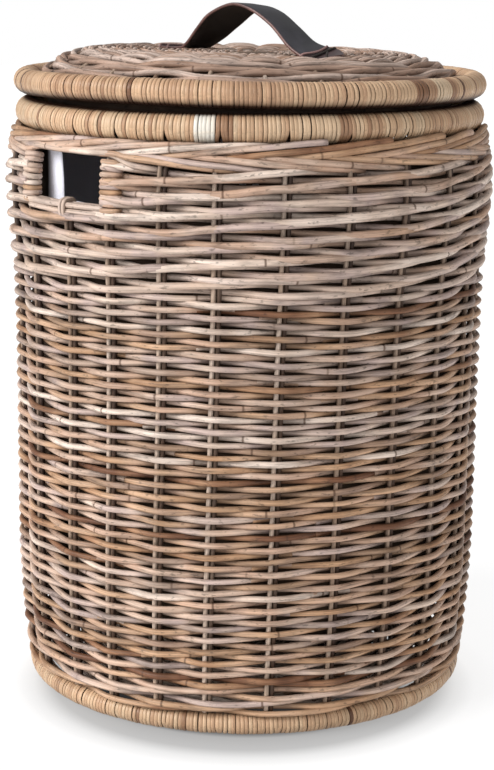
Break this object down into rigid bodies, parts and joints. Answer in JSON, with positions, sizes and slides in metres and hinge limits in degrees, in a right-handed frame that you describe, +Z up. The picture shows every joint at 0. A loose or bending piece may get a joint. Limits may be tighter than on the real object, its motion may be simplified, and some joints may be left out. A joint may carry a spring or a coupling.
{
  "type": "laundry basket",
  "caption": "Round woven rattan laundry basket with hand-holes, a cotton liner and a loose domed lid with a leather strap.",
  "frame": {"origin": "on the floor, under the middle of the basket", "axes": "+Z up; +X along the lid's leather strap; the hand-holes face -Y and +Y"},
  "size_m": [0.4648, 0.4638, 0.6519],
  "materials": {
    "cane_wrap": "satin flat cane, straw coloured",
    "rattan_pole": "dry rattan pole",
    "rattan_rod": "dry peeled rattan rod, mottled beige",
    "grey_rattan_rod": "dry weathered rattan rod, grey beige",
    "rattan_stake": "dry rattan rod",
    "cotton": "plain woven cotton",
    "dark_leather": "smooth dark leather with red-brown edges",
    "dark_cord": "waxed cord"
  },
  "bodies": {
    "basket": {"foot_wrap": "cane_wrap", "rim_wrap": "cane_wrap", "foot_hoop": "rattan_pole", "rim_hoop": "rattan_pole", "base_sticks": "rattan_pole", "base_weave": "rattan_rod", "bottom_wale": "rattan_rod", "lower_weave": "rattan_rod", "upper_weave": "rattan_rod", "top_border": "rattan_rod", "hand_hole_post_front_left": "rattan_rod", "hand_hole_post_front_right": "rattan_rod", "hand_hole_post_back_left": "rattan_rod", "hand_hole_post_back_right": "rattan_rod", "middle_wale": "grey_rattan_rod", "hand_hole_sill_front": "grey_rattan_rod", "hand_hole_sill_back": "grey_rattan_rod", "stake_01": "rattan_stake", "stake_02": "rattan_stake", "stake_03": "rattan_stake", "stake_04": "rattan_stake", "stake_05": "rattan_stake", "stake_06": "rattan_stake", "stake_07": "rattan_stake", "stake_08": "rattan_stake", "stake_09": "rattan_stake", "stake_10": "rattan_stake", "stake_11": "rattan_stake", "stake_12": "rattan_stake", "stake_13": "rattan_stake", "stake_14": "rattan_stake", "stake_15": "rattan_stake", "stake_16": "rattan_stake", "stake_17": "rattan_stake", "stake_18": "rattan_stake", "stake_19": "rattan_stake", "stake_20": "rattan_stake", "stake_21": "rattan_stake", "stake_22": "rattan_stake", "stake_23": "rattan_stake", "stake_24": "rattan_stake", "cotton_liner": "cotton", "liner_tie_1": "cotton", "liner_tie_2": "cotton", "liner_tie_3": "cotton", "liner_tie_4": "cotton"},
    "lid": {"lid_hoop": "rattan_pole", "lid_wrap": "cane_wrap", "lid_locating_hoop": "rattan_pole", "lid_spokes": "rattan_pole", "lid_panel": "rattan_rod", "lid_wale": "grey_rattan_rod", "strap_handle": "dark_leather", "strap_lashing_left_1": "dark_cord", "strap_lashing_left_2": "dark_cord", "strap_lashing_right_1": "dark_cord", "strap_lashing_right_2": "dark_cord"}
  },
  "joints": [
    {"name": "lid_lift", "type": "slide", "parent": "basket", "child": "lid", "axis": [0, 0, 1], "range_m": [0, 0.15]}
  ]
}
